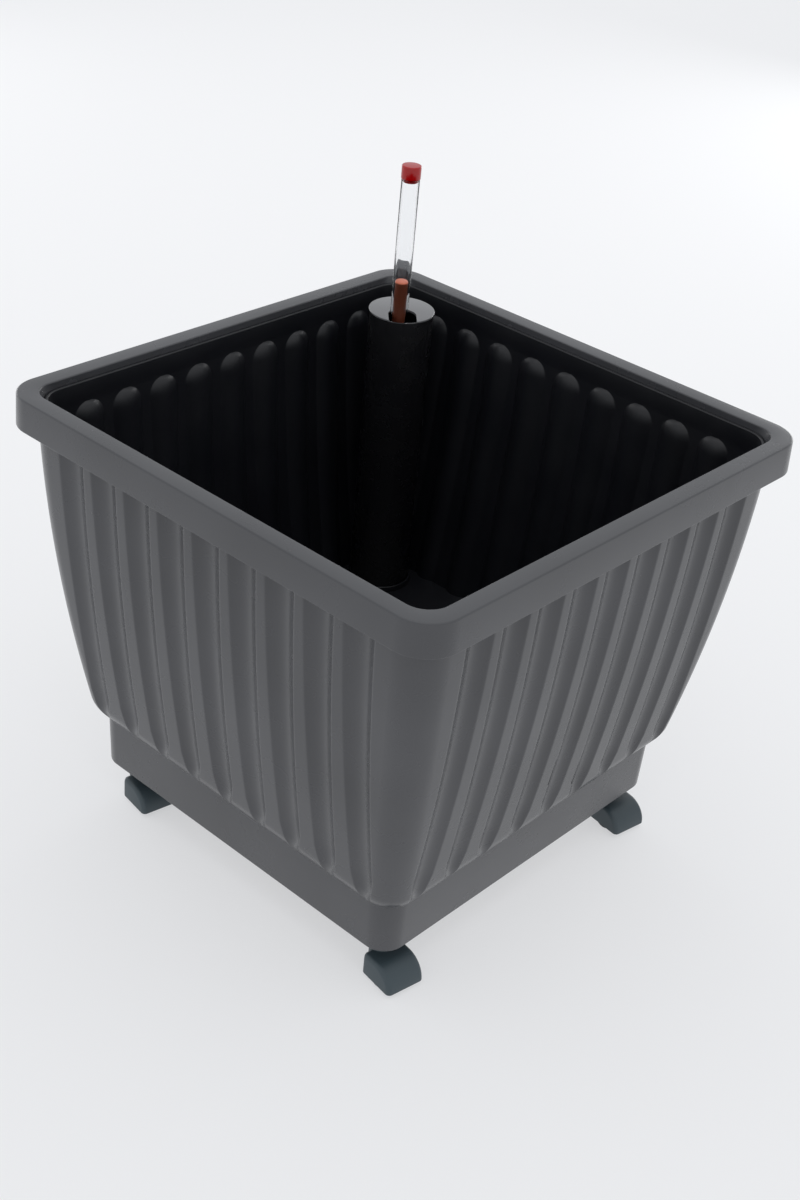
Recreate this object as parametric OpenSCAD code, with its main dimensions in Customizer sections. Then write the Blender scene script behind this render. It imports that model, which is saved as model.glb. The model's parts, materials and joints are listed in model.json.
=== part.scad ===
// Self watering planter: a fluted square pot on four swivel casters, a ribbed inner
// liner that lifts out, wicking cups, and a corner filler shaft with a float gauge.
// Origin: centre of the footprint, on the floor under the wheels. +Z is up.
// The filler shaft stands in the corner at -X +Y.

/* [Pot] */
// Outside width of the rim, the same both ways
rim_w = 400; // [390:1:410]
// Height of the rim's top above the floor
pot_h = 345; // [340:1:360]
// Width of the opening inside the rim
mouth_w = 370.4; // [370:0.1:371]
// Depth of the rim's turned-down skirt
skirt_h = 24; // [23.5:0.1:25]
// Thickness of the pot's wall
pot_wall = 3.5; // [3:0.1:3.6]
// Width of the plinth at its upper edge
plinth_w = 307.2; // [306:0.1:308]
// Height of the plinth's upper edge above the floor
plinth_top = 76.5; // [76:0.5:77]
// Height of the plinth's lower edge above the floor
plinth_bottom = 35.3; // [35:0.1:36]
// Height of the reservoir's floor above the ground
floor_top = 57.5; // [57:0.5:59]

/* [Flutes] */
// Number of flutes on each side
flute_n = 9; // [9:1:9]
// Distance from one flute to the next
flute_pitch = 34.2; // [34:0.1:34.3]
// Half the width of a flute under the skirt
flute_half = 13; // [11:0.5:13]
// Depth of a flute under the skirt
flute_d = 5; // [4:0.1:5]

/* [Liner] */
// Thickness of the liner's wall and floor
liner_wall = 2.2; // [2:0.1:2.2]
// Gap between the liner and the pot
liner_gap = 0.8; // [0.7:0.1:1]
// Height of the liner's floor, top face, above the ground
liner_floor = 100; // [99:0.5:102]
// Distance from the rim's top down to the liner's edge
liner_drop = 5; // [4:0.5:6]

/* [Filler shaft] */
// Distance of the shaft's axis from the planter's middle, along X and along Y
shaft_q = 130; // [129:0.5:130.5]
// Outside diameter of the shaft
shaft_dia = 50; // [49:0.5:50]
// Thickness of the shaft's wall
shaft_wall = 1.5; // [1.5:0.1:1.6]
// Height of the lid's top above the rim's top
lid_rise = 0.5; // [-1:0.5:1]
// Diameter of the shaft's lid
lid_dia = 52; // [52:0.5:53]

/* [Gauge] */
// Outside diameter of the gauge tube
tube_dia = 14; // [13.5:0.1:14]
// Height of the gauge above the lid
gauge_h = 118.5; // [112:0.5:122]
// Outside diameter of the red cap
cap_dia = 15; // [14.5:0.1:15.5]
// Diameter of the float's rod
rod_dia = 10.4; // [10:0.1:10.4]
// Height of the rod's top above the lid when the reservoir is empty
rod_reading = 27; // [20:0.5:30]
// How far the float rises from empty to full
float_travel = 42; // [38:1:42]

/* [Casters] */
// Distance of each swivel axis from the middle, along X and along Y
caster_q = 131; // [130.5:0.1:131.2]
// Direction in which the casters point, in degrees from +X
caster_yaw = -9; // [-180:1:180]
// Diameter of a wheel
wheel_dia = 18.8; // [18:0.1:19]
// Length of a caster's hood from front to back
hood_l = 31.5; // [31:0.1:32]
// Width of a caster's hood over its end plates
hood_w = 31.5; // [31:0.1:32]

/* [Hidden] */
$fn = 64;
eps = 0.01;

charcoal = [0.33, 0.335, 0.345];
liner_black = [0.09, 0.09, 0.1];
gloss_black = [0.04, 0.04, 0.045];
cap_red = [0.8, 0.05, 0.06];
rod_orange = [0.9, 0.3, 0.12];
clear = [0.85, 0.87, 0.88, 0.4];
foam_white = [0.92, 0.92, 0.9];
slate = [0.28, 0.32, 0.34];
wheel_grey = [0.2, 0.21, 0.22];
steel = [0.7, 0.71, 0.72];

// ---- outer shape of the pot ----

rim_plate = 3;
skirt_wall = 2.8;
skirt_flare = 0.8;
rim_corner_r = 26;
mouth_corner_r = 17;
body_corner_top_r = 27;
body_corner_low_r = 20;
plinth_corner_r = 17.6;
plinth_draft = 0.032;
rim_edge_r = 1.2;

// Half width of the pot's outside wall: straight at the top, drawn in along an arc.
belly_start = 50;
belly_w = 187.6;
belly_slope = 0.0575;
belly_bow = 0.00031;
function belly(z) =
    let (h = pot_h - belly_start - z)
    belly_w - belly_slope * h - belly_bow * h * h;

// Rounded turn from the wall down to the plinth.
turn_r = 26;
turn_z = 94;
turn_start = 10.3;
turn_end = 49.5;
turn_cx = belly(turn_z) - turn_r * cos(turn_start);
turn_cz = turn_z + turn_r * sin(turn_start);
function turn_point(a) = [turn_cx + turn_r * cos(a), turn_cz - turn_r * sin(a)];

// Depth and half width of the flutes at a height. They start in a dome behind the
// skirt, grow shallower and narrower on the way down and run out in the turn.
dome_top = pot_h - 21;
dome_full = pot_h - 34;
fade_start = 106;
fade_end = 82;
flute_d_low = 0.68;
flute_half_low = 0.77;
flute_half_end = 1.5;
function ramp(x, x0, x1) = min(1, max(0, (x - x0) / (x1 - x0)));
function flute_way(z) = ramp(z, fade_start, dome_full);
function flute_depth(z) =
    flute_d * (flute_d_low + (1 - flute_d_low) * flute_way(z))
    * sqrt(1 - pow(ramp(z, dome_full, dome_top), 2))
    * sqrt(ramp(z, fade_end, fade_start));
function flute_width(z) =
    let (run = flute_half * (flute_half_low + (1 - flute_half_low) * flute_way(z)))
    let (dome = sqrt(1 - pow(0.98 * ramp(z, dome_full, dome_top), 2)))
    (flute_half_end + (run - flute_half_end) * sqrt(ramp(z, fade_end, fade_start))) * dome;
function corner_r(z) =
    body_corner_low_r + (body_corner_top_r - body_corner_low_r) * ramp(z, turn_z, pot_h);

// ---- rings: closed outlines of a rounded square with flutes ----

// A ring is [z, half width, corner radius, flute depth, flute half width, pitch].
function plain_ring(z, w, r) =
    let (p = (w - r) / (flute_n / 2))
    [z, w, r, 0, 0.38 * p, p];
function wall_ring(z, w, r) =
    [z, w, r, flute_depth(z), flute_width(z), flute_pitch];

// Point on one side of a rounded square, s along the side from its middle, moved
// in by d. Past the straight stretch it follows the corner's arc.
function side_point(w, r, s, d) =
    let (flat = w - r, over = abs(s) - flat)
    let (a = over > 0 ? over / r * 180 / PI : 0)
    let (along = over > 0 ? flat + (r - d) * sin(a) : abs(s))
    [flat + (r - d) * cos(a), sign(s) * along];

corner_steps = 3;
flute_steps = [-1, -0.5, 0, 0.5, 1];
function side_stations(ring) =
    let (w = ring[1], r = ring[2], a = ring[4], p = ring[5])
    let (last = (flute_n - 1) / 2, start = max(last * p + a + 0.5, w - r))
    let (mid = w - r + r * PI / 4, step = (mid - start) / corner_steps)
    concat(
        [for (i = [corner_steps - 1 : -1 : 0]) [-(start + i * step), 0]],
        [for (i = [-last : last], t = flute_steps) [i * p + t * a, ring[3] * (1 - t * t)]],
        [for (i = [0 : corner_steps]) [start + i * step, 0]]
    );
function side_points(ring) =
    [for (s = side_stations(ring)) side_point(ring[1], ring[2], s[0], s[1])];
function turned(p, k) =
    k == 0 ? p : k == 1 ? [-p[1], p[0]] : k == 2 ? [-p[0], -p[1]] : [p[1], -p[0]];
function ring_points(ring) =
    let (side = side_points(ring))
    [for (k = [0 : 3], p = side) let (q = turned(p, k)) [q[0], q[1], ring[0]]];

// Skin through the rings, closed by a flat face at each end.
module ring_solid(rings) {
    n = len(ring_points(rings[0]));
    m = len(rings);
    points = [for (ring = rings) each ring_points(ring)];
    skin = [
        for (j = [0 : m - 2], i = [0 : n - 1])
            let (a = j * n + i, b = j * n + (i + 1) % n)
            each [[a, b + n, a + n], [a, b, b + n]]
    ];
    first = [for (i = [n - 1 : -1 : 0]) i];
    last = [for (i = [0 : n - 1]) (m - 1) * n + i];
    polyhedron(points = points, faces = concat([first], skin, [last]), convexity = 10);
}

// ---- pot and liner outlines ----

wall_levels = [262, 205, 150, fade_start];
turn_angles = [24, 38, turn_end];
dome_level = pot_h - 27;

function shrink(t, z) = max(2, corner_r(z) - t);
function plinth_half(z) = plinth_w / 2 - plinth_draft * (plinth_top - z);

function pot_outside() = concat(
    [plain_ring(pot_h - rim_plate, belly(pot_h - rim_plate), body_corner_top_r)],
    [wall_ring(dome_top, belly(dome_top), corner_r(dome_top))],
    [wall_ring(dome_level, belly(dome_level), corner_r(dome_level))],
    [for (z = wall_levels) wall_ring(z, belly(z), corner_r(z))],
    [wall_ring(turn_z, belly(turn_z), body_corner_low_r)],
    [for (a = turn_angles) let (p = turn_point(a)) wall_ring(p[1], p[0], body_corner_low_r)],
    [plain_ring(plinth_top + 1.5, plinth_w / 2 + 0.9, plinth_corner_r)],
    [plain_ring(plinth_bottom, plinth_half(plinth_bottom), plinth_corner_r)]
);

inner_levels = [dome_top, dome_level, 240, 165, fade_start, turn_z];
mouth_turn = 4;
function inner_half(z) = z >= dome_level ? mouth_w / 2 + 0.1 : belly(z) - pot_wall;
function pot_inside() = concat(
    [plain_ring(floor_top, plinth_half(floor_top) - pot_wall, plinth_corner_r - pot_wall)],
    [plain_ring(plinth_top + 1, plinth_w / 2 - pot_wall, plinth_corner_r - pot_wall)],
    [let (p = turn_point(36)) wall_ring(p[1], p[0] - pot_wall - 1, shrink(pot_wall + 1, turn_z))],
    [for (i = [len(inner_levels) - 1 : -1 : 0]) let (z = inner_levels[i])
        wall_ring(z, inner_half(z), shrink(pot_wall, z))],
    [plain_ring(pot_h - mouth_turn, mouth_w / 2, shrink(pot_wall + 1, pot_h))],
    [plain_ring(pot_h, mouth_w / 2, mouth_corner_r)]
);

rim_half = rim_w / 2 - skirt_flare;
function rim_rings() = [
    plain_ring(pot_h, rim_half - rim_edge_r, rim_corner_r - rim_edge_r),
    plain_ring(pot_h - rim_edge_r, rim_half, rim_corner_r),
    plain_ring(pot_h - skirt_h, rim_w / 2, rim_corner_r + skirt_flare),
    plain_ring(pot_h - skirt_h, rim_w / 2 - skirt_wall, rim_corner_r + skirt_flare - skirt_wall),
    plain_ring(pot_h - rim_plate, rim_half - skirt_wall - 0.4, rim_corner_r - skirt_wall)
];

floor_wall = 3.5;
function plinth_inside() = [
    plain_ring(plinth_bottom, plinth_half(plinth_bottom) - pot_wall,
        plinth_corner_r - pot_wall),
    plain_ring(floor_top - floor_wall, plinth_half(floor_top) - pot_wall,
        plinth_corner_r - pot_wall)
];

liner_inset = pot_wall + liner_gap;
liner_top = pot_h - liner_drop;
liner_levels = [dome_top, dome_level, 240, 165, fade_start];
function liner_half(z, t) = (z >= dome_level ? mouth_w / 2 - liner_gap : belly(z) - liner_inset) - t;
function liner_side(t, low) = concat(
    [plain_ring(liner_top, liner_half(liner_top, t), shrink(liner_inset + t, liner_top))],
    [for (z = liner_levels) wall_ring(z, liner_half(z, t), shrink(liner_inset + t, z))],
    [wall_ring(low, liner_half(low, t), shrink(liner_inset + t, low))]
);

// ---- shaft, gauge and cups ----

shaft_r = shaft_dia / 2;
shaft_in_r = shaft_r - shaft_wall;
shaft_at = [-shaft_q, shaft_q, 0];
shaft_bottom = liner_floor - 6;
lid_t = 1.6;
lid_top = pot_h + lid_rise;
shaft_top = lid_top - lid_t;
lid_plug_h = 6;
lid_plug_gap = 0.2;
lid_plug_wall = 1.4;
notch_r = 11;
notch_turn = -45;

tube_shift = 10;
tube_turn = -60;
tube_at = [-shaft_q + tube_shift * cos(tube_turn), shaft_q + tube_shift * sin(tube_turn), 0];
tube_r = tube_dia / 2;
tube_wall = 1.5;
rod_r = rod_dia / 2;
rod_wall = 0.8;
rod_gap = 0.06;
float_r = 12.3;
float_h = 30;
float_bottom = floor_top + 1;
float_top = float_bottom + float_h;
rod_socket = 15;
rod_bottom = float_top - rod_socket;
rod_top = lid_top + rod_reading;
foot_bottom = float_top + float_travel + 3;
foot_h = 8;
foot_wall = 2;
foot_arm = 2.4;
tube_bottom = foot_bottom + 3;
cap_h = 10;
cap_plug = 15;
cap_chamfer = 0.8;
gauge_top = lid_top + gauge_h;
cap_bottom = gauge_top - cap_h;

cup_q = 85;
cup_r = 36;
cup_low_r = 30;
cup_wall = 1.8;
cup_flange = 3;
cup_places = [[cup_q, -cup_q], [-cup_q, -cup_q], [cup_q, cup_q]];
cup_slots = 12;
cup_slot_w = 3;

collar_wall = 2;
collar_h = 6;

// ---- casters ----

caster_places = [
    [caster_q, -caster_q], [-caster_q, -caster_q], [-caster_q, caster_q], [caster_q, caster_q]
];
wheel_r = wheel_dia / 2;
hood_low = 3.8;
hood_r = 17.3;
hood_shift = 15;
hood_front = hood_shift + hood_l / 2;
hood_back = hood_shift - hood_l / 2;
axle_x = hood_front - hood_r;
hood_plate = 1.65;
hood_shell = 1.5;
web_half = 5;
wheel_gap = 0.3;
wheel_w = hood_w / 2 - hood_plate - web_half - 2 * wheel_gap;
axle_r = 2;
axle_gap = 0.05;
axle_half = hood_w / 2 - 0.8;
neck_r = 8.5;
neck_top = plinth_bottom - 1.5;
stem_r = 3.5;
stem_low = 11;
stem_top = plinth_bottom + 17;
groove_r = 3;
groove_low = plinth_bottom + 8;
groove_h = 4.6;
ring_gap = 0.05;
ring_slack = 0.3;
ring_slit = 1.2;
socket_r = 7;
socket_bore_r = 4.7;
socket_top = plinth_bottom + 18;
socket_flange_r = 9;
socket_flange_t = 1;
boss_r = 9.5;

// ---- modules: pot and liner ----

// Upright slot through the wall on the +X side, at a flute's edge.
slit_w = 3.2;
slit_edges = [[0, 122.5, 149], [1, 104, 128]];
module overflow_slit(flute, low, high) {
    y = flute * flute_pitch - flute_width((low + high) / 2) + slit_w / 4;
    length = high - low - slit_w;
    translate([belly(low) - 15, y, low + slit_w / 2])
        rotate([0, 90, 0]) {
            cylinder(d = slit_w, h = 30, $fn = 24);
            translate([-length, 0, 0])
                cylinder(d = slit_w, h = 30, $fn = 24);
            translate([-length, -slit_w / 2, 0])
                cube([length, slit_w, 30]);
        }
}

module outer_pot() {
    color(charcoal)
        difference() {
            union() {
                ring_solid(concat(pot_inside(), rim_rings(), pot_outside(), plinth_inside()));
                for (p = caster_places)
                    translate([p[0], p[1], plinth_bottom])
                        cylinder(r = boss_r, h = floor_top - floor_wall - plinth_bottom + 1);
            }
            for (p = caster_places)
                translate([p[0], p[1], plinth_bottom - 1])
                    cylinder(r = socket_r, h = socket_top - plinth_bottom + 1);
            for (s = slit_edges)
                overflow_slit(s[0], s[1], s[2]);
        }
}

module liner() {
    inside = liner_side(liner_wall, liner_floor);
    outside = liner_side(0, liner_floor - liner_wall);
    n = len(inside);
    color(liner_black)
        difference() {
            union() {
                ring_solid(concat([for (i = [n - 1 : -1 : 0]) inside[i]], outside));
                translate([shaft_at[0], shaft_at[1], liner_floor - liner_wall / 2])
                    cylinder(r = shaft_r + collar_wall, h = collar_h);
            }
            translate([shaft_at[0], shaft_at[1], liner_floor - liner_wall - 1])
                cylinder(r = shaft_r + 0.15, h = collar_h + liner_wall + 2);
            for (p = cup_places)
                translate([p[0], p[1], liner_floor - liner_wall - 1])
                    cylinder(r = cup_r + 0.3, h = liner_wall + 2);
        }
}

// Slotted cup that hangs in the liner's floor and stands on the reservoir's floor.
module soil_cup(i) {
    drop = liner_floor - floor_top;
    color(liner_black)
        translate([cup_places[i][0], cup_places[i][1], floor_top])
            difference() {
                union() {
                    cylinder(r1 = cup_low_r, r2 = cup_r, h = drop);
                    translate([0, 0, drop])
                        cylinder(r = cup_r + cup_flange, h = cup_wall);
                }
                translate([0, 0, cup_wall])
                    cylinder(r1 = cup_low_r - cup_wall, r2 = cup_r - cup_wall, h = drop);
                translate([0, 0, drop - 1])
                    cylinder(r = cup_r - cup_wall, h = cup_wall + 3);
                for (k = [0 : cup_slots - 1])
                    rotate([0, 0, k * 360 / cup_slots])
                        translate([cup_low_r - 6, -cup_slot_w / 2, 8])
                            cube([15, cup_slot_w, drop - 18]);
                for (k = [0 : 5])
                    rotate([0, 0, k * 60])
                        translate([cup_low_r / 2, 0, -1])
                            cylinder(d = 5, h = cup_wall + 2, $fn = 24);
            }
}

// ---- modules: shaft and gauge ----

module tube(r, r_in, h) {
    difference() {
        cylinder(r = r, h = h);
        translate([0, 0, -1])
            cylinder(r = r_in, h = h + 2);
    }
}

module filler_shaft() {
    color(gloss_black)
        translate([shaft_at[0], shaft_at[1], shaft_bottom])
            tube(shaft_r, shaft_in_r, shaft_top - shaft_bottom);
}

// Snap lid with a notch round the gauge tube, open to the lid's edge.
module shaft_lid() {
    plug_r = shaft_in_r - lid_plug_gap;
    color(gloss_black)
        translate([shaft_at[0], shaft_at[1], shaft_top])
            difference() {
                union() {
                    cylinder(r = lid_dia / 2, h = lid_t);
                    translate([0, 0, -lid_plug_h])
                        tube(plug_r, plug_r - lid_plug_wall, lid_plug_h + eps);
                }
                rotate([0, 0, notch_turn]) {
                    translate([tube_shift + 1, 0, -lid_plug_h - 1])
                        cylinder(r = notch_r, h = lid_plug_h + lid_t + 2);
                    translate([tube_shift + 1, -notch_r, -lid_plug_h - 1])
                        cube([lid_dia, 2 * notch_r, lid_plug_h + lid_t + 2]);
                }
            }
}

module gauge_tube() {
    color(clear)
        translate([tube_at[0], tube_at[1], tube_bottom])
            tube(tube_r, tube_r - tube_wall, cap_bottom - tube_bottom);
}

module gauge_cap() {
    color(cap_red)
        translate([tube_at[0], tube_at[1], 0]) {
            translate([0, 0, cap_bottom])
                cylinder(d = cap_dia, h = cap_h - cap_chamfer);
            translate([0, 0, gauge_top - cap_chamfer])
                cylinder(d1 = cap_dia, d2 = cap_dia - 2 * cap_chamfer, h = cap_chamfer);
            translate([0, 0, cap_bottom - cap_plug])
                cylinder(r = tube_r - tube_wall, h = cap_plug + eps);
        }
}

// Spider that holds the tube's lower end in the shaft and guides the rod.
module gauge_foot() {
    color(gloss_black)
        translate([0, 0, foot_bottom])
            difference() {
                union() {
                    translate([shaft_at[0], shaft_at[1], 0])
                        tube(shaft_in_r, shaft_in_r - foot_wall, foot_h);
                    translate([tube_at[0], tube_at[1], 0])
                        cylinder(r = tube_r + foot_wall, h = foot_h);
                    intersection() {
                        translate([shaft_at[0], shaft_at[1], 0])
                            cylinder(r = shaft_in_r - foot_wall / 2, h = foot_h);
                        translate([tube_at[0], tube_at[1], 0])
                            for (a = [tube_turn, tube_turn + 120, tube_turn + 240])
                                rotate([0, 0, a])
                                    translate([0, -foot_arm / 2, 0])
                                        cube([shaft_dia, foot_arm, foot_h]);
                    }
                }
                translate([tube_at[0], tube_at[1], -1])
                    cylinder(r = rod_r + rod_gap, h = foot_h + 2);
                translate([tube_at[0], tube_at[1], tube_bottom - foot_bottom])
                    cylinder(r = tube_r, h = foot_h);
            }
}

module float_rod() {
    color(rod_orange)
        translate([tube_at[0], tube_at[1], 0])
            difference() {
                translate([0, 0, rod_bottom])
                    cylinder(r = rod_r, h = rod_top - rod_bottom);
                translate([0, 0, rod_bottom - 1])
                    cylinder(r = rod_r - rod_wall, h = rod_top - rod_bottom - 2);
            }
}

module float_body() {
    edge = 3;
    color(foam_white)
        translate([tube_at[0], tube_at[1], float_bottom])
            difference() {
                union() {
                    cylinder(r1 = float_r - edge, r2 = float_r, h = edge);
                    translate([0, 0, edge])
                        cylinder(r = float_r, h = float_h - 2 * edge);
                    translate([0, 0, float_h - edge])
                        cylinder(r1 = float_r, r2 = float_r - edge, h = edge);
                }
                translate([0, 0, float_h - rod_socket])
                    cylinder(r = rod_r, h = rod_socket + 1);
            }
}

// ---- modules: casters ----

module at_caster(i) {
    translate([caster_places[i][0], caster_places[i][1], 0])
        rotate([0, 0, caster_yaw])
            children();
}

// Cylinder along the wheels' axis, from y0 to y1, round the axle.
module across(r, y0, y1, x = axle_x, z = wheel_r) {
    translate([x, y1, z])
        rotate([90, 0, 0])
            cylinder(r = r, h = y1 - y0);
}

module caster_socket(i) {
    color(gloss_black)
        at_caster(i)
            difference() {
                union() {
                    translate([0, 0, plinth_bottom])
                        cylinder(r = socket_r, h = socket_top - plinth_bottom);
                    translate([0, 0, plinth_bottom - socket_flange_t])
                        cylinder(r = socket_flange_r, h = socket_flange_t);
                }
                translate([0, 0, plinth_bottom - socket_flange_t - 1])
                    cylinder(r = socket_bore_r, h = socket_top - plinth_bottom + 1);
            }
}

// Split spring ring that grips the stem's groove inside the socket.
module grip_ring(i) {
    color(steel)
        at_caster(i)
            translate([0, 0, groove_low + ring_slack])
                difference() {
                    tube(socket_bore_r, groove_r + ring_gap, groove_h - 2 * ring_slack);
                    translate([0, -ring_slit / 2, -1])
                        cube([2 * socket_r, ring_slit, groove_h + 2]);
                }
}

module caster_stem(i) {
    color(steel)
        at_caster(i) {
            translate([0, 0, stem_low])
                cylinder(r = stem_r, h = groove_low - stem_low);
            translate([0, 0, groove_low - eps])
                cylinder(r = groove_r, h = groove_h + 2 * eps);
            translate([0, 0, groove_low + groove_h])
                cylinder(r = stem_r, h = stem_top - groove_low - groove_h - 1);
            translate([0, 0, stem_top - 1])
                cylinder(r1 = stem_r, r2 = stem_r - 1, h = 1);
        }
}

// Quarter disc over the front of the wheels with a square block behind it.
module hood_form(r, y0, y1, back, low) {
    intersection() {
        across(r, y0, y1, axle_x, hood_low);
        translate([axle_x, y0 - 1, low])
            cube([r + 1, y1 - y0 + 2, hood_low + r - low + 1]);
    }
    translate([back, y0, low])
        cube([axle_x - back, y1 - y0, hood_low + r - low]);
}

// Cover over both wheels, with the neck that takes the stem.
module caster_hood(i) {
    in_x = hood_w / 2 - hood_plate;
    color(slate)
        at_caster(i)
            difference() {
                union() {
                    hood_form(hood_r, -hood_w / 2, hood_w / 2, hood_back, hood_low);
                    translate([0, 0, hood_low])
                        cylinder(r = neck_r, h = neck_top - hood_low);
                }
                for (y0 = [-in_x, web_half])
                    hood_form(hood_r - hood_shell, y0, y0 + in_x - web_half,
                        hood_back + hood_shell, -1);
                across(axle_r, -axle_half, axle_half);
                translate([0, 0, stem_low])
                    cylinder(r = stem_r, h = neck_top);
            }
}

module caster_axle(i) {
    color(steel)
        at_caster(i)
            across(axle_r, -axle_half, axle_half);
}

// Hard wheel with a recessed face on both sides.
module wheel(i, side) {
    y0 = side * (web_half + wheel_gap + wheel_w / 2) - wheel_w / 2;
    rim = 2.6;
    hub = 4;
    recess = 1.5;
    color(wheel_grey)
        at_caster(i)
            difference() {
                across(wheel_r, y0, y0 + wheel_w);
                for (y = [y0 - 1, y0 + wheel_w - recess])
                    difference() {
                        across(wheel_r - rim, y, y + recess + 1);
                        across(hub, y, y + recess + 1);
                    }
                across(axle_r + axle_gap, y0 - 1, y0 + wheel_w + 1);
            }
}

// ---- the nodes ----

outer_pot();
liner();
soil_cup(0);  // soil_cup_1
soil_cup(1);  // soil_cup_2
soil_cup(2);  // soil_cup_3
filler_shaft();
shaft_lid();
gauge_tube();
gauge_cap();
gauge_foot();
float_rod();
float_body();
for (i = [0 : 3]) {
    caster_socket(i);
    grip_ring(i);
    caster_stem(i);
    caster_hood(i);
    caster_axle(i);
    wheel(i, 1);
    wheel(i, -1);
}
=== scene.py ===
"""Looks of the self watering planter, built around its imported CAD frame. Metres, +Z up."""

import json
import math

import bmesh
import bpy
import numpy as np
from mathutils import Matrix, Vector


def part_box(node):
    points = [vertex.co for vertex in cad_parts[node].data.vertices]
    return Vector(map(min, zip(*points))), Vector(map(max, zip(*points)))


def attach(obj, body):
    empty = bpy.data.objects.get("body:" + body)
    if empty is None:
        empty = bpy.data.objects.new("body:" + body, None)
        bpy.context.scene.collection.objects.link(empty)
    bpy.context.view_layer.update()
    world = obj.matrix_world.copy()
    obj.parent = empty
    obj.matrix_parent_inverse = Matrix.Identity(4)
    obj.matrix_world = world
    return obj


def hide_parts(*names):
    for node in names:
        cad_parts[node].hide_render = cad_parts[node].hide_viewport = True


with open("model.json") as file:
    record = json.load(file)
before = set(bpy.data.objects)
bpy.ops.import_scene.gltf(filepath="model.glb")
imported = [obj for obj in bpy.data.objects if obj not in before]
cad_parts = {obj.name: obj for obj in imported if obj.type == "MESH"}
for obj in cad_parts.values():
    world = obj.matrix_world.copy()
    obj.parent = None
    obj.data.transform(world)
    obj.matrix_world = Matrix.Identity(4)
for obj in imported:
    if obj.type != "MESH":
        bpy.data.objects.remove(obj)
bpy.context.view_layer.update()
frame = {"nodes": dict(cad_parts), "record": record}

MM = 0.001

# ---- sizes in millimetres, as in the CAD part ----

POT_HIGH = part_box("outer_pot")[1] / MM
POT_H = POT_HIGH.z
SKIRT_HALF = POT_HIGH.x
SKIRT_FLARE = 0.8
RIM_HALF = SKIRT_HALF - SKIRT_FLARE
MOUTH_HALF = 185.2
MOUTH_TURN = 4.0
SKIRT_H = 24.0
SKIRT_WALL = 2.8
RIM_PLATE = 3.0
POT_WALL = 3.5
PLINTH_HALF = 153.6
PLINTH_TOP = 76.5
PLINTH_LOW = 35.3
PLINTH_DRAFT = 0.032
PLINTH_CORNER = 17.6
FLOOR_TOP = 57.5
FLOOR_WALL = 3.5
RIM_CORNER = 26.0
MOUTH_CORNER = 17.0
MOUTH_CORNER_LOW = 22.5
RIM_EDGE = 1.3
BODY_CORNER_TOP = 27.0
BODY_CORNER_LOW = 20.0

FLUTE_N = 9
FLUTE_PITCH = 34.2
FLUTE_HALF = 13.0
FLUTE_DEPTH = 5.0
DOME_TOP = POT_H - 21
DOME_FULL = POT_H - 34
FADE_START = 106.0
FADE_END = 82.0

TURN_R = 26.0
TURN_Z = 94.0
TURN_START = math.radians(10.3)
TURN_END = math.radians(49.5)
TURN_INNER_LOW = 83.0

LINER_WALL = 2.2
LINER_INSET = POT_WALL + 0.8
LINER_FLOOR = 100.0
LINER_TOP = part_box("liner")[1].z / MM

SHAFT_LOW, SHAFT_HIGH = (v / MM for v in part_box("filler_shaft"))
SHAFT_R = (SHAFT_HIGH.x - SHAFT_LOW.x) / 2
SHAFT_AT = (SHAFT_LOW + SHAFT_HIGH) / 2
SHAFT_WALL = 1.5
LID_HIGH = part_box("shaft_lid")[1] / MM
LID_R = 26.0
LID_T = 1.6
LID_PLUG_H = 6.0
NOTCH_R = 11.0
TUBE_LOW, TUBE_HIGH = (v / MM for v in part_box("gauge_tube"))
TUBE_AT = (TUBE_LOW + TUBE_HIGH) / 2
TUBE_R = (TUBE_HIGH.x - TUBE_LOW.x) / 2
TUBE_WALL = 1.5
CAP_LOW, CAP_HIGH = (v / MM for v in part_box("gauge_cap"))
CAP_R = (CAP_HIGH.x - CAP_LOW.x) / 2
CAP_H = 10.0
CAP_PLUG = 3.0
ROD_LOW, ROD_HIGH = (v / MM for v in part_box("float_rod"))
ROD_R = (ROD_HIGH.x - ROD_LOW.x) / 2

CASTER_Q = 131.0
CASTER_PLACES = [(1, -1), (-1, -1), (-1, 1), (1, 1)]
CASTER_YAW = math.radians(-9)
HOOD_LOW = 3.8
HOOD_R = 17.3
HOOD_SHIFT = 15.0
HOOD_L = 31.5
HOOD_W = 31.5
HOOD_PLATE = 1.65
HOOD_SHELL = 1.5
HOOD_EDGE = 3.5
WEB_HALF = 5.0
AXLE_X = HOOD_SHIFT + HOOD_L / 2 - HOOD_R
NECK_R = 8.5
NECK_TOP = PLINTH_LOW - 1.5
WHEEL_R = 9.4
WHEEL_GAP = 0.3
WHEEL_W = HOOD_W / 2 - HOOD_PLATE - WEB_HALF - 2 * WHEEL_GAP
CUPS = [(85, -85), (-85, -85), (85, 85)]

POT_MIDDLE = (0, 0, 0.2)


# ---- mesh helpers: points are in millimetres ----

def link(obj):
    bpy.context.scene.collection.objects.link(obj)
    return obj


def mesh_object(name, points, faces, smooth_angle=35):
    mesh = bpy.data.meshes.new(name)
    mesh.from_pydata((np.asarray(points, float) * MM).tolist(), [], faces)
    mesh.validate()
    work = bmesh.new()
    work.from_mesh(mesh)
    bmesh.ops.recalc_face_normals(work, faces=work.faces)
    work.to_mesh(mesh)
    work.free()
    mesh.shade_smooth()
    mesh.set_sharp_from_angle(angle=math.radians(smooth_angle))
    return link(bpy.data.objects.new(name, mesh))


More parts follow.
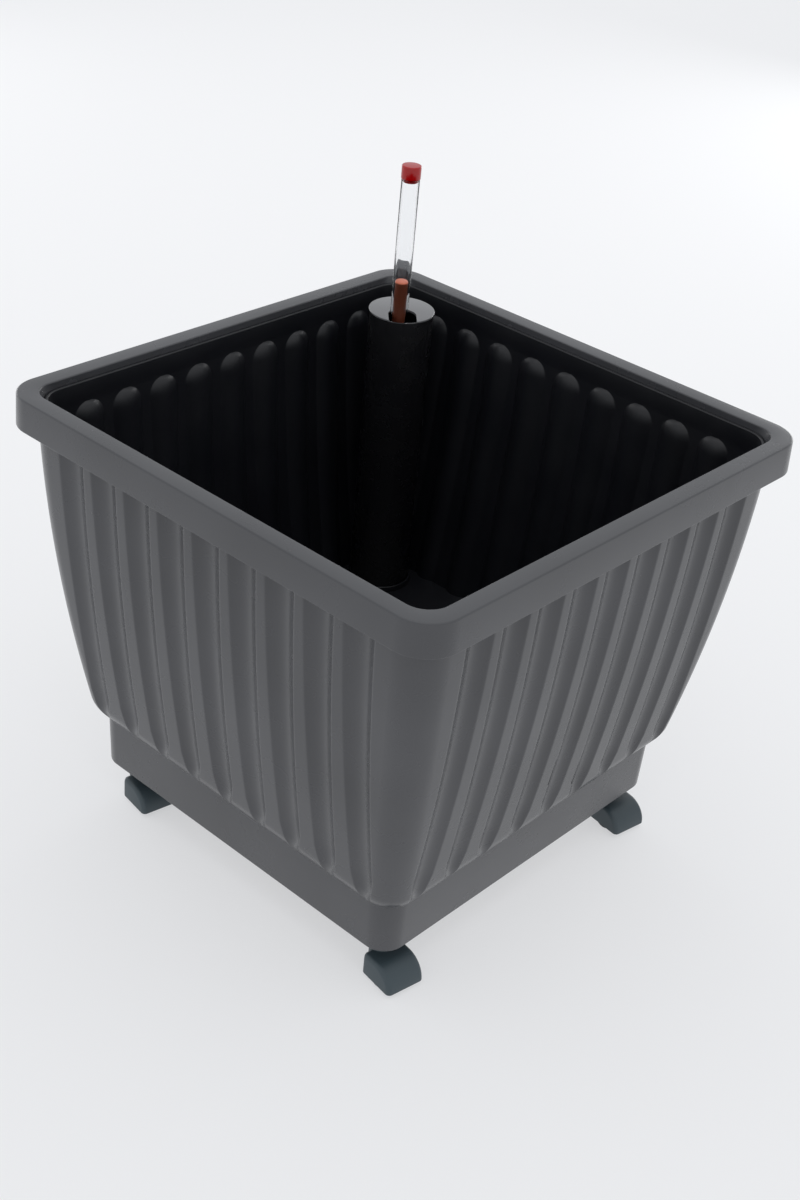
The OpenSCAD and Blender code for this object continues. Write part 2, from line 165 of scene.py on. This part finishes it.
def loft(name, rings, smooth_angle=35, closed=False):
    """Skin through rings of equal length, capped at both ends, or closed on itself."""
    n, m = len(rings[0]), len(rings)
    faces = []
    for j in range(m if closed else m - 1):
        a, b = j * n, (j + 1) % m * n
        faces += [(a + i, a + (i + 1) % n, b + (i + 1) % n, b + i) for i in range(n)]
    if not closed:
        faces.append(tuple(range(n - 1, -1, -1)))
        faces.append(tuple((m - 1) * n + i for i in range(n)))
    return mesh_object(name, np.concatenate(rings), faces, smooth_angle)


def lathe(name, profile, at=(0, 0), steps=96, smooth_angle=35, closed=False):
    """Solid of revolution about a vertical axis, from a profile of (radius, z)."""
    a = np.linspace(0, 2 * math.pi, steps, endpoint=False)
    rings = [np.column_stack([at[0] + r * np.cos(a), at[1] + r * np.sin(a),
                              np.full(steps, z)]) for r, z in profile]
    return loft(name, rings, smooth_angle, closed)


def fillet(corner, before, after, radius, steps):
    """Arc of the given radius at a corner between two straight runs."""
    c, b, a = (np.array(p, float) for p in (corner, before, after))
    u, v = (b - c) / np.linalg.norm(b - c), (a - c) / np.linalg.norm(a - c)
    half = math.acos(float(np.clip(u @ v, -1, 1))) / 2
    centre = c + (u + v) / np.linalg.norm(u + v) * radius / math.sin(half)
    p = c + u * radius / math.tan(half) - centre
    q = c + v * radius / math.tan(half) - centre
    sweep = math.pi - 2 * half
    return [tuple(centre + (math.sin((1 - t) * sweep) * p + math.sin(t * sweep) * q)
                  / math.sin(sweep)) for t in np.linspace(0, 1, steps + 1)]


def rounded(points, radii, steps=5, closed=False):
    """A path of (half, z) with each corner rounded by its radius."""
    n = len(points)
    out = []
    for i, (point, radius) in enumerate(zip(points, radii)):
        if not radius:
            out.append(point)
        else:
            out += fillet(point, points[i - 1], points[(i + 1) % n], radius, steps)
    return out


def modify(obj, kind, **values):
    """Adds a modifier, applies it and leaves plain mesh."""
    modifier = obj.modifiers.new(kind.lower(), kind)
    for key, value in values.items():
        setattr(modifier, key, value)
    bpy.context.view_layer.update()
    graph = bpy.context.evaluated_depsgraph_get()
    mesh = bpy.data.meshes.new_from_object(obj.evaluated_get(graph))
    obj.modifiers.clear()
    old = obj.data
    obj.data = mesh
    bpy.data.meshes.remove(old)
    return obj


def carve(obj, cutters, operation="DIFFERENCE", smooth_angle=35):
    """Cuts, or adds, each cutter and removes it."""
    for cutter in cutters:
        modify(obj, "BOOLEAN", object=cutter, operation=operation, solver="EXACT")
        bpy.data.objects.remove(cutter)
    obj.data.shade_smooth()
    obj.data.set_sharp_from_angle(angle=math.radians(smooth_angle))
    return obj


def joined(name, parts):
    """One object from several, with no cutting."""
    points, faces, start = [], [], 0
    for part in parts:
        points += [part.matrix_world @ v.co / MM for v in part.data.vertices]
        faces += [tuple(start + i for i in f.vertices) for f in part.data.polygons]
        start = len(points)
        bpy.data.objects.remove(part)
    return mesh_object(name, points, faces)


def prism(name, outline, y0, y1):
    """Solid with an outline of (x, z), from y0 to y1."""
    rings = [np.array([(x, y, z) for x, z in outline]) for y in (y0, y1)]
    return loft(name, rings, 35)


def tube_profile(r, r_in, low, high, soft=0.3):
    return rounded([(r, low), (r, high), (r_in, high), (r_in, low)], [soft] * 4, 3, True)


# ---- outlines of the pot and the liner ----

def ramp(x, x0, x1):
    return min(1.0, max(0.0, (x - x0) / (x1 - x0)))


def belly(z):
    h = POT_H - 50 - z
    return 187.6 - 0.0575 * h - 0.00031 * h * h


TURN_X = belly(TURN_Z) - TURN_R * math.cos(TURN_START)
TURN_C = TURN_Z + TURN_R * math.sin(TURN_START)


def turn_point(a):
    return TURN_X + TURN_R * math.cos(a), TURN_C - TURN_R * math.sin(a)


def wall_half(z):
    """Outside half width of the wall, down through its rounded turn."""
    if z >= TURN_Z:
        return belly(z)
    return TURN_X + math.sqrt(TURN_R ** 2 - (TURN_C - z) ** 2)


def plinth_half(z):
    return PLINTH_HALF - PLINTH_DRAFT * (PLINTH_TOP - z)


def body_corner(z):
    return BODY_CORNER_LOW + (BODY_CORNER_TOP - BODY_CORNER_LOW) * ramp(z, TURN_Z, POT_H)


def rim_corner(half, z):
    """Corner radius of the rim's outlines, tighter at the mouth's top edge than below it."""
    if half <= MOUTH_HALF + 0.01:
        return np.interp(z, [POT_H - MOUTH_TURN, POT_H - RIM_EDGE],
                         [MOUTH_CORNER_LOW, MOUTH_CORNER])
    centre = np.interp(half, [MOUTH_HALF, RIM_HALF],
                       [MOUTH_HALF - MOUTH_CORNER, RIM_HALF - RIM_CORNER])
    return half - centre


def plinth_corner(half, z):
    low = half - (plinth_half(PLINTH_LOW) - PLINTH_CORNER)
    return low + (BODY_CORNER_LOW - low) * ramp(z, PLINTH_TOP + 2, FADE_END)


def flute_fade(z):
    return math.sqrt(ramp(z, FADE_END, FADE_START))


def flute_depth(z):
    dome = math.sqrt(1 - ramp(z, DOME_FULL, DOME_TOP) ** 2)
    return FLUTE_DEPTH * (0.68 + 0.32 * ramp(z, FADE_START, DOME_FULL)) * dome * flute_fade(z)


def flute_half(z):
    run = FLUTE_HALF * (0.77 + 0.23 * ramp(z, FADE_START, DOME_FULL))
    dome = math.sqrt(1 - (0.98 * ramp(z, DOME_FULL, DOME_TOP)) ** 2)
    return (1.5 + (run - 1.5) * flute_fade(z)) * dome


# Stations across a flute, in half widths, and its section: an arc with soft edges.
EDGE_SOFT = 0.045
SIDE_T = np.array([0.86, 0.92, 0.96, 1.0, 1.04, 1.1, 1.2])
FLUTE_T = np.concatenate([-SIDE_T[::-1], np.linspace(-0.76, 0.76, 13), SIDE_T])
FLUTE_G = EDGE_SOFT * np.logaddexp(0, (1 - FLUTE_T ** 2) / EDGE_SOFT)
CORNER_STEPS = 10


def ring(z, half, r, depth=0.0, a=None):
    """One closed outline of a rounded square with flutes, as rows of x, y, z."""
    r = max(r, 0.5)
    flat = half - r
    last = (FLUTE_N - 1) / 2
    pitch = FLUTE_PITCH if a else flat / (last + 0.5)
    a = a or 0.38 * pitch
    start = max(flat, last * pitch + FLUTE_T[-1] * a + 0.2)
    arc = np.linspace(start, flat + r * math.pi / 4, CORNER_STEPS + 1)
    inner = ((np.arange(FLUTE_N) - last)[:, None] * pitch + FLUTE_T * a).ravel()
    s = np.concatenate([-arc[-2::-1], inner, arc])
    d = np.concatenate([np.zeros(CORNER_STEPS), np.tile(depth * FLUTE_G, FLUTE_N),
                        np.zeros(CORNER_STEPS + 1)])
    over = np.maximum(np.abs(s) - flat, 0)
    x = flat + (r - d) * np.cos(over / r)
    y = np.sign(s) * np.where(over > 0, flat + (r - d) * np.sin(over / r), np.abs(s))
    side = np.stack([x, y], -1)
    xy = np.concatenate([side, side[:, ::-1] * [-1, 1], -side, side[:, ::-1] * [1, -1]])
    return np.column_stack([xy, np.full(len(xy), z)])


def wall_ring(z, inset):
    r = max(2.0, body_corner(z) - inset)
    return ring(z, wall_half(z) - inset, r, flute_depth(z), flute_half(z))


def wall_levels(low, high):
    """Heights of a wall's rings, top down: close together where the flutes end."""
    levels = np.concatenate([
        np.linspace(DOME_TOP, DOME_FULL, 14), np.linspace(DOME_FULL, FADE_START, 24),
        np.linspace(FADE_START, FADE_END, 18), [low, high]])
    return np.unique(np.round(levels[(levels >= low) & (levels <= high)], 3))[::-1]


# ---- pot ----

SLITS = [(0, 122.5, 149.0), (1, 104.0, 128.0)]
SLIT_W = 3.2


def slit_cutter(flute, low, high):
    y = flute * FLUTE_PITCH - flute_half((low + high) / 2) + SLIT_W / 4
    r = SLIT_W / 2
    a = np.linspace(0, math.pi, 9)
    outline = [(y + r * math.cos(t), high - r + r * math.sin(t)) for t in a]
    outline += [(y - r * math.cos(t), low + r - r * math.sin(t)) for t in a]
    x = belly(low) - 15
    rings = [np.array([(x + dx, u, v) for u, v in outline]) for dx in (0, 30)]
    return loft("slit_cutter", rings)


def rim_section():
    """Path from the mouth over the rim and round the skirt to the wall's top."""
    foot = POT_H - SKIRT_H
    under = POT_H - RIM_PLATE
    points = [(MOUTH_HALF, DOME_TOP + 6), (MOUTH_HALF, POT_H - MOUTH_TURN), (MOUTH_HALF, POT_H),
              (RIM_HALF, POT_H), (SKIRT_HALF, foot), (SKIRT_HALF - SKIRT_WALL, foot),
              (RIM_HALF - SKIRT_WALL - 0.4, under), (belly(under), under),
              (belly(DOME_TOP + 2), DOME_TOP + 2)]
    return rounded(points, [0, 0, 1.0, RIM_EDGE, 0.7, 0.5, 1.0, 1.0, 0], 6)


def plinth_section():
    """Path from the wall's rounded turn down the plinth and in under the floor."""
    foot = plinth_half(PLINTH_LOW)
    under = FLOOR_TOP - FLOOR_WALL
    inner = plinth_half(under) - POT_WALL
    points = [turn_point(TURN_END - 0.2), turn_point(TURN_END),
              (PLINTH_HALF + 1.3, PLINTH_TOP + 1.2), (PLINTH_HALF, PLINTH_TOP - 0.6),
              (foot, PLINTH_LOW), (foot - POT_WALL, PLINTH_LOW), (inner, under),
              (inner * 0.55, under)]
    return rounded(points, [0, 0.4, 0.6, 0.5, 0.9, 0.6, 1.5, 0], 5)[1:]


def make_pot():
    floor_half = plinth_half(FLOOR_TOP) - POT_WALL
    corner = PLINTH_CORNER - POT_WALL
    rings = [ring(FLOOR_TOP, floor_half * 0.55, corner * 0.55)]
    rings += [ring(FLOOR_TOP, floor_half - 3, corner - 3),
              ring(FLOOR_TOP + 1, floor_half - 0.8, corner - 0.8),
              ring(FLOOR_TOP + 3, floor_half, corner),
              ring(PLINTH_TOP + 1, PLINTH_HALF - POT_WALL, corner)]
    rings += [wall_ring(z, POT_WALL + ramp(z, TURN_Z, TURN_INNER_LOW))
              for z in wall_levels(TURN_INNER_LOW, DOME_TOP)[::-1]]
    rings += [ring(z, half, rim_corner(half, z)) for half, z in rim_section()]
    rings += [wall_ring(z, 0) for z in wall_levels(FADE_END - 2, DOME_TOP)]
    rings += [ring(z, half, plinth_corner(half, z)) for half, z in plinth_section()]
    shell = loft("pot_shell", rings, 40)
    return carve(shell, [slit_cutter(*s) for s in SLITS], smooth_angle=40)


def make_bosses():
    """Socket bosses under the reservoir's floor."""
    top = FLOOR_TOP - FLOOR_WALL
    parts = []
    for sx, sy in CASTER_PLACES:
        profile = tube_profile(9.5, 7.05, PLINTH_LOW, top + 1, 0.4)
        parts.append(lathe("boss", profile, (sx * CASTER_Q, sy * CASTER_Q), 48, closed=True))
    return joined("pot_bosses", parts)


# ---- liner ----

def make_liner():
    def side(inset, low):
        return [wall_ring(z, LINER_INSET + inset) for z in wall_levels(low, DOME_TOP)]

    inner_half = MOUTH_HALF - 0.8 - LINER_WALL
    outer_half = MOUTH_HALF - 0.8
    lip = rounded([(inner_half, DOME_TOP + 4), (inner_half, LINER_TOP), (outer_half, LINER_TOP),
                   (outer_half, DOME_TOP + 4)], [0, 0.9, 0.9, 0], 4)
    inset = LINER_INSET + LINER_WALL
    base = wall_half(LINER_FLOOR) - inset
    rings = [ring(LINER_FLOOR, base * 0.5, 8), ring(LINER_FLOOR, base - 9, 8)]
    rings += side(LINER_WALL, LINER_FLOOR + 1)[::-1]
    corner = body_corner(LINER_TOP) - LINER_INSET
    rings += [ring(z, half, corner + half - outer_half) for half, z in lip]
    rings += side(0, LINER_FLOOR - LINER_WALL)
    rings += [ring(LINER_FLOOR - LINER_WALL, base - 9, 8),
              ring(LINER_FLOOR - LINER_WALL, base * 0.5, 8)]
    shell = loft("liner_shell", rings, 40)
    low, high = LINER_FLOOR - 5, LINER_FLOOR + 12
    holes = [lathe("hole", [(36.3, low), (36.3, high)], c, 96) for c in CUPS]
    holes.append(lathe("hole", [(SHAFT_R + 0.15, low), (SHAFT_R + 0.15, high)], SHAFT_AT, 96))
    collar = tube_profile(SHAFT_R + 2, SHAFT_R + 0.15, LINER_FLOOR - 1, LINER_FLOOR + 5, 0.6)
    carve(shell, holes, smooth_angle=40)
    return shell, lathe("liner_collar", collar, SHAFT_AT, 96, closed=True)


# ---- shaft and gauge ----

def make_shaft():
    profile = tube_profile(SHAFT_R, SHAFT_R - SHAFT_WALL, SHAFT_LOW.z, SHAFT_HIGH.z, 0.4)
    return lathe("filler_shaft_wall", profile, SHAFT_AT, 128, closed=True)


def make_lid():
    """Snap lid with a notch round the gauge tube, open to its edge."""
    top, plate, low = LID_HIGH.z, LID_HIGH.z - LID_T, LID_HIGH.z - LID_T - LID_PLUG_H
    plug = SHAFT_R - SHAFT_WALL - 0.2
    points = [(0.05, top), (LID_R, top), (LID_R, plate), (plug, plate), (plug, low),
              (plug - 1.4, low), (plug - 1.4, plate), (0.05, plate)]
    lid = lathe("lid", rounded(points, [0, 0.5, 0.4, 0, 0.3, 0.3, 0.3, 0], 4), SHAFT_AT, 160)
    along = Vector((1, -1, 0)).normalized()
    across = Vector((1, 1, 0)).normalized()
    centre = Vector((SHAFT_AT.x, SHAFT_AT.y, 0)) + along * 11
    turns = np.linspace(math.pi / 2, 3 * math.pi / 2, 25)
    outline = [centre + (along * math.cos(t) + across * math.sin(t)) * NOTCH_R for t in turns]
    outline += [centre - across * NOTCH_R + along * 30, centre + across * NOTCH_R + along * 30]
    rings = [np.array([(p.x, p.y, z) for p in outline]) for z in (low - 2, top + 2)]
    return carve(lid, [loft("notch", rings)], smooth_angle=30)


def make_tube():
    low, high = TUBE_LOW.z, TUBE_HIGH.z
    profile = tube_profile(TUBE_R, TUBE_R - TUBE_WALL, low, high, 0.3)
    return lathe("gauge_tube_wall", profile, TUBE_AT, 64, closed=True)


def make_cap():
    bottom, plug = CAP_HIGH.z - CAP_H, TUBE_R - TUBE_WALL
    low = bottom - CAP_PLUG
    points = [(0.05, CAP_HIGH.z), (CAP_R, CAP_HIGH.z), (CAP_R, bottom), (plug, bottom),
              (plug, low), (0.05, low)]
    return lathe("gauge_cap_body", rounded(points, [0, 0.8, 0.4, 0, 0.6, 0], 6), TUBE_AT, 64)


def make_rod():
    points = [(0.05, ROD_HIGH.z), (ROD_R, ROD_HIGH.z), (ROD_R, ROD_LOW.z), (0.05, ROD_LOW.z)]
    return lathe("gauge_rod", rounded(points, [0, 0.8, 0, 0], 5), TUBE_AT, 48)


# ---- casters ----

def hood_outline(r, back, low):
    """Side view: a quarter arc over the front of the wheels, upright behind the axle."""
    top = HOOD_LOW + r
    arc = [(AXLE_X + r * math.cos(t), HOOD_LOW + r * math.sin(t))
           for t in np.linspace(0, math.pi / 2, 25)]
    corner = fillet((back, top), (AXLE_X, top), (back, low), HOOD_EDGE, 6)
    front = [(AXLE_X + r, low)] if low < HOOD_LOW else []
    return arc + corner + [(back, low)] + front


def make_hood():
    half = HOOD_W / 2
    back = HOOD_SHIFT - HOOD_L / 2
    turns = np.linspace(0, math.pi / 2, 7)
    ends = [(HOOD_EDGE * (1 - math.sin(t)), half - HOOD_EDGE * (1 - math.cos(t))) for t in turns]
    stations = [(inset, -y) for inset, y in ends] + ends[::-1]
    rings = [np.array([(x, y, z) for x, z in hood_outline(HOOD_R - inset, back + inset, HOOD_LOW)])
             for inset, y in stations]
    hood = loft("hood", rings, 32)
    neck = lathe("neck", rounded([(0.05, NECK_TOP), (NECK_R, NECK_TOP), (NECK_R, HOOD_LOW),
                                  (0.05, HOOD_LOW)], [0, 0.8, 0.8, 0], 4), (0, 0), 64)
    carve(hood, [neck], "UNION")
    cavity = hood_outline(HOOD_R - HOOD_SHELL, back + HOOD_SHELL, HOOD_LOW - 3)
    inner = half - HOOD_PLATE
    cutters = [prism("cavity", cavity, y0, y0 + inner - WEB_HALF) for y0 in (-inner, WEB_HALF)]
    return carve(hood, cutters, smooth_angle=32)


def make_wheel(side):
    middle = side * (WEB_HALF + WHEEL_GAP + WHEEL_W / 2)
    half = WHEEL_W / 2
    points = [(2.05, -half), (4.0, -half), (4.0, 1.5 - half), (6.8, 1.5 - half), (6.8, -half),
              (WHEEL_R, -half), (WHEEL_R, half), (6.8, half), (6.8, half - 1.5),
              (4.0, half - 1.5), (4.0, half), (2.05, half)]
    radii = [0, 0.3, 0.3, 0.3, 0.3, 0.9, 0.9, 0.3, 0.3, 0.3, 0.3, 0]
    wheel = lathe("wheel", rounded(points, radii, 3), (0, 0), 64, closed=True)
    turn = Matrix.Rotation(math.radians(-90), 4, "X")
    wheel.data.transform(turn)
    wheel.data.transform(Matrix.Translation(Vector((AXLE_X, middle, WHEEL_R)) * MM))
    return wheel


def placed(source, name, place):
    """A copy of a caster's piece at one corner of the plinth."""
    sx, sy = place
    obj = link(bpy.data.objects.new(name, source.data.copy()))
    spin = Matrix.Rotation(CASTER_YAW, 4, "Z")
    shift = Matrix.Translation(Vector((sx * CASTER_Q, sy * CASTER_Q, 0)) * MM)
    obj.data.transform(shift @ spin)
    return obj


# ---- materials ----

def shader(name, colour, roughness, **inputs):
    """New material with a Principled shader and its plain values set."""
    material = bpy.data.materials.new(name)
    material.use_nodes = True
    tree = material.node_tree
    bsdf = tree.nodes["Principled BSDF"]
    bsdf.inputs["Base Color"].default_value = (*colour, 1)
    bsdf.inputs["Roughness"].default_value = roughness
    for key, value in inputs.items():
        bsdf.inputs[key.replace("_", " ")].default_value = value
    return material, tree, bsdf


def add(tree, kind, **values):
    node = tree.nodes.new(kind)
    for key, value in values.items():
        if key in node.inputs:
            node.inputs[key].default_value = value
        else:
            setattr(node, key, value)
    return node


def noise(tree, scale, detail=3.0, rough=0.5, stretch=(1, 1, 1)):
    """Noise over the object's own coordinates, in cycles per metre."""
    where = add(tree, "ShaderNodeTexCoord")
    mapping = add(tree, "ShaderNodeMapping", Scale=stretch)
    tree.links.new(where.outputs["Object"], mapping.inputs["Vector"])
    node = add(tree, "ShaderNodeTexNoise", Scale=scale, Detail=detail, Roughness=rough)
    tree.links.new(mapping.outputs["Vector"], node.inputs["Vector"])
    return node.outputs["Fac"]


def spread(tree, source, low, high, start=0.3, end=0.7):
    """Maps a value onto a range."""
    node = add(tree, "ShaderNodeMapRange")
    node.inputs["From Min"].default_value = start
    node.inputs["From Max"].default_value = end
    node.inputs["To Min"].default_value = low
    node.inputs["To Max"].default_value = high
    tree.links.new(source, node.inputs["Value"])
    return node.outputs["Result"]


def tint(tree, factor, first, second):
    """Colour between two, by a factor."""
    node = add(tree, "ShaderNodeMix", data_type="RGBA")
    node.inputs[6].default_value = (*first, 1)
    node.inputs[7].default_value = (*second, 1)
    tree.links.new(factor, node.inputs[0])
    return node.outputs[2]


def bump(tree, bsdf, heights):
    """Stacks bumps on a shader, each a (height output, distance in mm)."""
    last = None
    for height, distance in heights:
        node = add(tree, "ShaderNodeBump", Strength=1.0, Distance=distance * MM)
        tree.links.new(height, node.inputs["Height"])
        if last:
            tree.links.new(last, node.inputs["Normal"])
        last = node.outputs["Normal"]
    tree.links.new(last, bsdf.inputs["Normal"])


def moulded(name, colour, roughness, grain=0.012, wave=0.05, dust=0.0, vary=0.12):
    """Moulded plastic: fine grain, a slow waviness, patchy gloss and a little dust."""
    material, tree, bsdf = shader(name, colour, roughness)
    patch = noise(tree, 9, 2)
    fine = noise(tree, 1400, 2)
    deep = tuple(c * (1 - vary) for c in colour)
    light = tuple(min(1, c * (1 + vary)) for c in colour)
    base = tint(tree, spread(tree, patch, 0, 1), deep, light)
    if dust:
        specks = spread(tree, noise(tree, 260, 4, 0.75), 0, dust, 0.74, 0.82)
        node = add(tree, "ShaderNodeMix", data_type="RGBA")
        node.inputs[7].default_value = (0.35, 0.35, 0.36, 1)
        tree.links.new(base, node.inputs[6])
        tree.links.new(specks, node.inputs[0])
        base = node.outputs[2]
    tree.links.new(base, bsdf.inputs["Base Color"])
    gloss = spread(tree, noise(tree, 22, 4, 0.6), roughness * 0.88, roughness * 1.15)
    tree.links.new(gloss, bsdf.inputs["Roughness"])
    bump(tree, bsdf, [(noise(tree, 18, 2), wave), (fine, grain)])
    return material


def glossy(name, colour, roughness, wave=0.01, **inputs):
    material, tree, bsdf = shader(name, colour, roughness, **inputs)
    gloss = spread(tree, noise(tree, 60, 4, 0.6), roughness * 0.8, roughness * 1.3)
    tree.links.new(gloss, bsdf.inputs["Roughness"])
    bump(tree, bsdf, [(noise(tree, 40, 3), wave)])
    return material


# The rod's own colour, then a painted highlight colour for its lit top end.
ROD_SIDE = (0.13, 0.03, 0.012)
ROD_TIP_HIGHLIGHT = (0.8, 0.2, 0.1)


def make_materials():
    made = {
        "pot_plastic": moulded("pot_plastic", (0.058, 0.059, 0.064), 0.26, 0.006, 0.03, dust=0.15),
        "liner_plastic": moulded("liner_plastic", (0.005, 0.0055, 0.008), 0.42, dust=0.4),
        "shaft_plastic": glossy("shaft_plastic", (0.006, 0.006, 0.007), 0.25),
        "lid_plastic": glossy("lid_plastic", (0.12, 0.12, 0.125), 0.12, Specular_IOR_Level=1.0),
        "cap_plastic": glossy("cap_plastic", (0.4, 0.001, 0.002), 0.12),
        "float_foam": moulded("float_foam", (0.82, 0.82, 0.79), 0.8, 0.2, 0.2),
        "socket_plastic": moulded("socket_plastic", (0.02, 0.02, 0.022), 0.5),
        "hood_plastic": moulded("hood_plastic", (0.04, 0.058, 0.068), 0.45, 0.004, 0.02),
        "wheel_plastic": moulded("wheel_plastic", (0.03, 0.033, 0.036), 0.5),
    }
    clear, tree, bsdf = shader("clear_plastic", (0.98, 0.985, 0.99), 0.02, IOR=1.2,
                               Transmission_Weight=1.0)
    gloss = spread(tree, noise(tree, 50, 4, 0.6), 0.01, 0.06)
    tree.links.new(gloss, bsdf.inputs["Roughness"])
    made["clear_plastic"] = clear
    rod, tree, bsdf = shader("rod_plastic", ROD_SIDE, 0.3)
    where = add(tree, "ShaderNodeTexCoord")
    split = add(tree, "ShaderNodeSeparateXYZ")
    tree.links.new(where.outputs["Object"], split.inputs["Vector"])
    # Painted highlight: the rod's top 1.5 mm blends into the bright tip colour, standing in for
    # light falling on its end.
    lit_tip_highlight = spread(tree, split.outputs["Z"], 0, 1, (ROD_HIGH.z - 1.5) * MM, (ROD_HIGH.z - 0.4) * MM)
    tree.links.new(tint(tree, lit_tip_highlight, ROD_SIDE, ROD_TIP_HIGHLIGHT), bsdf.inputs["Base Color"])
    gloss = spread(tree, noise(tree, 60, 4, 0.6), 0.22, 0.4)
    tree.links.new(gloss, bsdf.inputs["Roughness"])
    bump(tree, bsdf, [(noise(tree, 40, 3), 0.01)])
    made["rod_plastic"] = rod
    for name, colour, roughness in (("steel", (0.62, 0.62, 0.64), 0.25),
                                    ("spring_steel", (0.5, 0.5, 0.52), 0.3)):
        metal, tree, bsdf = shader(name, colour, roughness, Metallic=1.0)
        gloss = spread(tree, noise(tree, 300, 3), roughness * 0.8, roughness * 1.4)
        tree.links.new(gloss, bsdf.inputs["Roughness"])
        made[name] = metal
    return made


MATERIALS = make_materials()


def dress(obj, slot):
    obj.data.materials.clear()
    obj.data.materials.append(MATERIALS[slot])
    return obj


def settle(obj, body, slot, *nodes):
    """Gives a piece its finish and body, and hides the CAD nodes that it stands for."""
    dress(obj, slot)
    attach(obj, body)
    if nodes:
        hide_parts(*nodes)
    return obj


# ---- the object ----

for entry in frame["record"]["subparts"]:
    dress(frame["nodes"][entry["node"]], entry["material_slot"])

settle(make_pot(), "pot", "pot_plastic", "outer_pot")
settle(make_bosses(), "pot", "pot_plastic")
liner_shell, liner_collar = make_liner()
settle(liner_shell, "liner_set", "liner_plastic", "liner")
settle(liner_collar, "liner_set", "liner_plastic")
settle(make_shaft(), "liner_set", "shaft_plastic", "filler_shaft")
settle(make_lid(), "lid", "lid_plastic", "shaft_lid")
settle(make_tube(), "liner_set", "clear_plastic", "gauge_tube")
settle(make_cap(), "liner_set", "cap_plastic", "gauge_cap")
settle(make_rod(), "float", "rod_plastic", "float_rod")

hood_source = make_hood()
wheel_sources = {"a": make_wheel(1), "b": make_wheel(-1)}
for number, place in enumerate(CASTER_PLACES, 1):
    hood = placed(hood_source, f"hood_{number}", place)
    settle(hood, f"caster_{number}", "hood_plastic", f"caster_hood_{number}")
    for letter, source in wheel_sources.items():
        wheel = placed(source, f"tyre_{letter}_{number}", place)
        body = f"wheel_{letter}_{number}"
        settle(wheel, body, "wheel_plastic", body)
for source in [hood_source, *wheel_sources.values()]:
    bpy.data.objects.remove(source)


# ---- floor, light and camera ----

def make_floor():
    size = 6000
    corners = [(-size, -size, 0), (size, -size, 0), (size, size, 0), (-size, size, 0)]
    floor = mesh_object("floor", corners, [(0, 1, 2, 3)])
    material, tree, bsdf = shader("floor_paper", (0.36, 0.362, 0.366), 0.9, Emission_Strength=0.52)
    bsdf.inputs["Emission Color"].default_value = (1, 1.005, 1.02, 1)
    floor.data.materials.append(material)


def make_light(name, at, toward, size, power, colour=(1, 1, 1)):
    light = bpy.data.lights.new(name, "AREA")
    light.shape = "RECTANGLE"
    light.size, light.size_y = size
    light.energy = power
    light.color = colour
    obj = link(bpy.data.objects.new(name, light))
    obj.location = at
    obj.rotation_euler = (Vector(toward) - Vector(at)).to_track_quat("-Z", "Y").to_euler()
    return obj


def make_camera():
    azimuth, elevation, roll = (math.radians(v) for v in (40.18, 31.835, 5.561))
    back = Vector((math.sin(azimuth) * math.cos(elevation),
                   -math.cos(azimuth) * math.cos(elevation), math.sin(elevation)))
    right = Vector((math.cos(azimuth), math.sin(azimuth), 0))
    up = back.cross(right)
    x = math.cos(roll) * right + math.sin(roll) * up
    y = math.cos(roll) * up - math.sin(roll) * right
    data = bpy.data.cameras.new("camera")
    data.lens = 51.84
    data.sensor_width = 36
    camera = link(bpy.data.objects.new("camera", data))
    turn = Matrix((x, y, back)).transposed().to_4x4()
    camera.matrix_world = Matrix.Translation(Vector((0.7069, -0.8289, 0.8678))) @ turn
    bpy.context.scene.camera = camera


make_floor()
make_light("left_softbox", (-2.4, 0.25, 0.62), POT_MIDDLE, (1.3, 0.8), 6)
make_light("right_softbox", (-0.25, 2.4, 0.62), POT_MIDDLE, (1.3, 0.8), 9)
make_light("top_softbox", (0, 0, 2.6), POT_MIDDLE, (2.4, 2.4), 6)
world = bpy.data.worlds.new("studio")
world.use_nodes = True
world.node_tree.nodes["Background"].inputs["Color"].default_value = (0.95, 0.97, 1.0, 1)
world.node_tree.nodes["Background"].inputs["Strength"].default_value = 0.84
bpy.context.scene.world = world
bpy.context.scene.view_settings.view_transform = "Standard"
make_camera()
